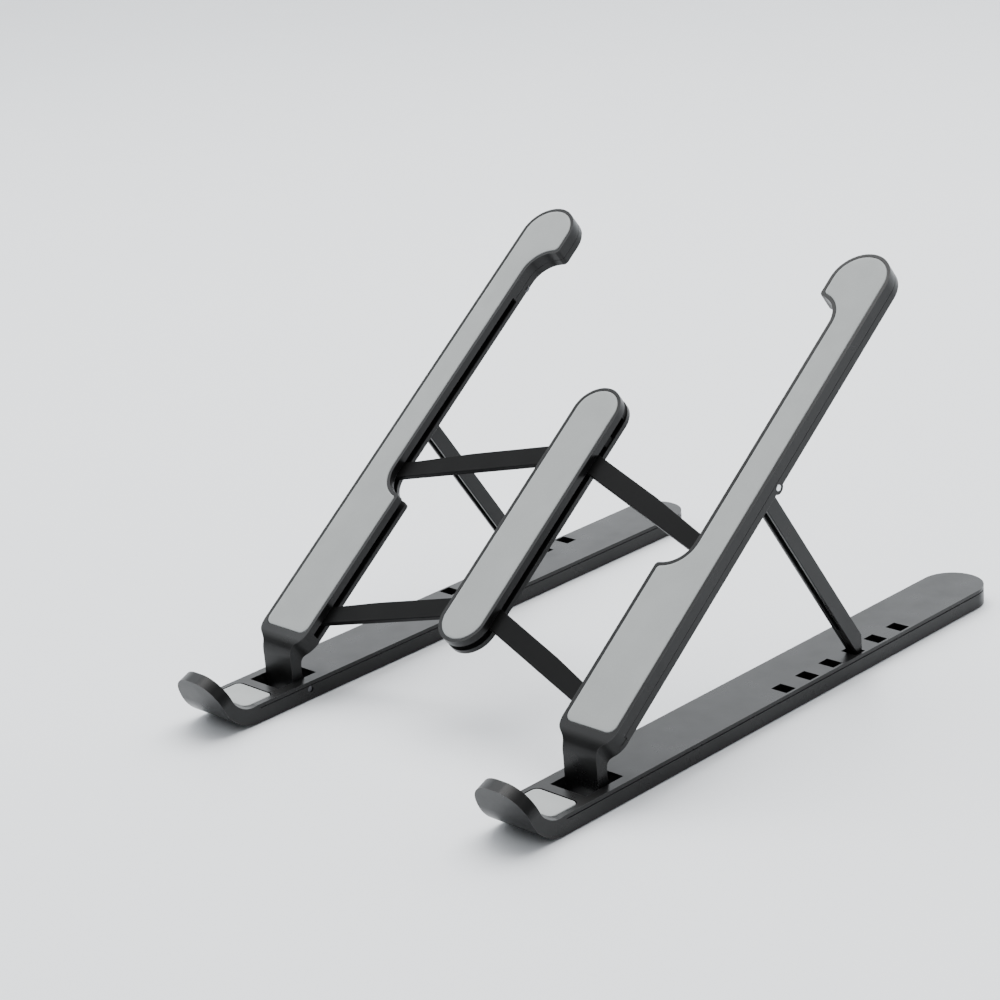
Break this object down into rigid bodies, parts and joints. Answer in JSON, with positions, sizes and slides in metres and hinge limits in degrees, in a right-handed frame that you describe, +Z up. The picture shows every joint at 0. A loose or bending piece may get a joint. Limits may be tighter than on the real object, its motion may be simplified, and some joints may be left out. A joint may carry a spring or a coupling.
{
  "type": "laptop stand",
  "caption": "Folding laptop stand: hooked rails, sloping padded arms held up by struts in slots, and a padded centre block on swinging links that lets the stand close to a slim bar.",
  "frame": {"origin": "middle of the open stand's footprint on the floor", "axes": "+X across the stand, +Y from the hooks to the back, +Z up"},
  "size_m": [0.1662, 0.246, 0.1384],
  "materials": {
    "abs_dark": "satin black moulded plastic",
    "link_black": "matte black moulded plastic",
    "pad_grey": "soft matte grey silicone",
    "foot_rubber": "black anti-slip rubber",
    "pin_steel": "turned steel pin",
    "screw_steel": "zinc-plated screw"
  },
  "bodies": {
    "left_base": {"left_base": "abs_dark", "left_base_rack": "abs_dark", "left_base_sole": "abs_dark", "left_base_pad": "pad_grey", "left_base_feet": "foot_rubber", "left_hinge_pin": "pin_steel"},
    "left_arm": {"left_arm_shell": "abs_dark", "left_arm_cover": "abs_dark", "left_arm_pad": "pad_grey", "left_cover_screws": "screw_steel", "left_strut_pin": "pin_steel", "left_link_pins": "pin_steel"},
    "left_strut": {"left_strut": "abs_dark"},
    "left_link_upper": {"left_link_upper": "link_black"},
    "left_link_lower": {"left_link_lower": "link_black"},
    "right_base": {"right_base": "abs_dark", "right_base_rack": "abs_dark", "right_base_sole": "abs_dark", "right_base_pad": "pad_grey", "right_base_feet": "foot_rubber", "right_hinge_pin": "pin_steel"},
    "right_arm": {"right_arm_shell": "abs_dark", "right_arm_cover": "abs_dark", "right_arm_pad": "pad_grey", "right_cover_screws": "screw_steel", "right_strut_pin": "pin_steel", "right_link_pins": "pin_steel"},
    "right_strut": {"right_strut": "abs_dark"},
    "right_link_upper": {"right_link_upper": "link_black"},
    "right_link_lower": {"right_link_lower": "link_black"},
    "centre": {"centre_top": "abs_dark", "centre_bottom": "abs_dark", "centre_spacer": "link_black", "centre_pad": "pad_grey", "centre_pins": "pin_steel"}
  },
  "joints": [
    {"name": "arm_tilt", "type": "hinge", "parent": "left_base", "child": "left_arm", "pos_m": [-0.0715, -0.081, 0.0041], "axis": [1, 0, 0], "range_deg": [-35.8, 0]},
    {"name": "left_strut_swing", "type": "hinge", "parent": "left_arm", "child": "left_strut", "pos_m": [-0.0715, 0.00333, 0.07918], "axis": [1, 0, 0], "range_deg": [0, 92.6]},
    {"name": "side_fold", "type": "hinge", "parent": "left_arm", "child": "left_link_upper", "pos_m": [-0.0735, -0.02141, 0.06317], "axis": [0, -0.599, 0.8007], "range_deg": [0, 64.9]},
    {"name": "left_link_lower_turn", "type": "hinge", "parent": "left_arm", "child": "left_link_lower", "pos_m": [-0.0735, -0.07305, 0.02453], "axis": [0, -0.599, 0.8007], "range_deg": [0, 64.9]},
    {"name": "centre_turn", "type": "hinge", "parent": "left_link_upper", "child": "centre", "pos_m": [-0.0048, -0.00363, 0.07647], "axis": [0, -0.599, 0.8007], "range_deg": [-64.9, 0]},
    {"name": "right_link_upper_turn", "type": "hinge", "parent": "centre", "child": "right_link_upper", "pos_m": [0.0048, -0.00363, 0.07647], "axis": [0, -0.599, 0.8007], "range_deg": [-64.9, 0]},
    {"name": "right_link_lower_turn", "type": "hinge", "parent": "centre", "child": "right_link_lower", "pos_m": [0.0048, -0.05527, 0.03783], "axis": [0, -0.599, 0.8007], "range_deg": [-64.9, 0]},
    {"name": "right_arm_turn", "type": "hinge", "parent": "right_link_upper", "child": "right_arm", "pos_m": [0.0735, -0.02141, 0.06317], "axis": [0, -0.599, 0.8007], "range_deg": [0, 64.9]},
    {"name": "right_strut_swing", "type": "hinge", "parent": "right_arm", "child": "right_strut", "pos_m": [0.0715, 0.00333, 0.07918], "axis": [1, 0, 0], "range_deg": [0, 92.6]},
    {"name": "right_base_tilt", "type": "hinge", "parent": "right_arm", "child": "right_base", "pos_m": [0.0715, -0.081, 0.0041], "axis": [1, 0, 0], "range_deg": [0, 35.8]}
  ],
  "couplings": [
    {"joint": "left_strut_swing", "follows": "arm_tilt", "ratio": -2.5838},
    {"joint": "right_strut_swing", "follows": "arm_tilt", "ratio": -2.5838},
    {"joint": "right_base_tilt", "follows": "arm_tilt", "ratio": -1},
    {"joint": "left_link_lower_turn", "follows": "side_fold", "ratio": 1},
    {"joint": "centre_turn", "follows": "side_fold", "ratio": -1},
    {"joint": "right_link_upper_turn", "follows": "side_fold", "ratio": -1},
    {"joint": "right_link_lower_turn", "follows": "side_fold", "ratio": -1},
    {"joint": "right_arm_turn", "follows": "side_fold", "ratio": 1}
  ]
}
